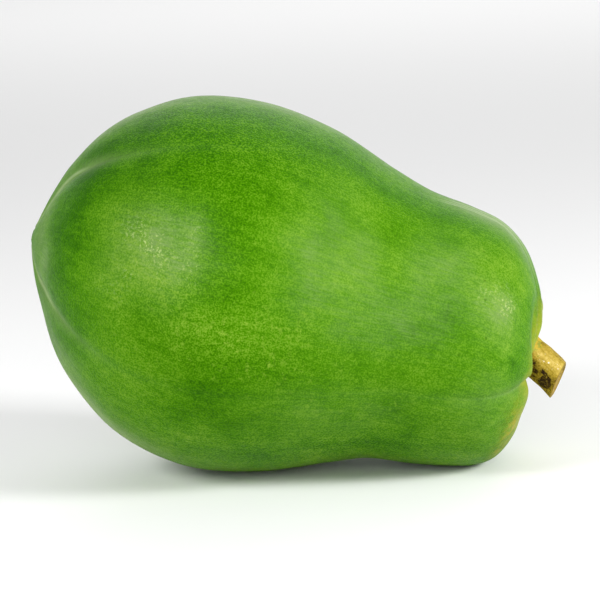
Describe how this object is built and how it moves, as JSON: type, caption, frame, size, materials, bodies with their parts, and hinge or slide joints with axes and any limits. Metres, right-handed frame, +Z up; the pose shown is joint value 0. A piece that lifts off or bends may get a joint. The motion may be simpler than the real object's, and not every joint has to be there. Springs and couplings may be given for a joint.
{
  "type": "green papaya",
  "caption": "Whole unripe pear-shaped papaya lying on its side, with faint lobes, a puckered tip, a stem hollow and a short cut stem.",
  "frame": {"origin": "on the table, under the centre of the fruit and stem together", "axes": "+X from the blossom tip towards the stem, +Z up, -Y the front"},
  "size_m": [0.2132, 0.1502, 0.1515],
  "materials": {
    "skin": "satin",
    "stem": "matte"
  },
  "bodies": {
    "root": {"fruit": "skin", "stem": "stem"}
  },
  "joints": []
}
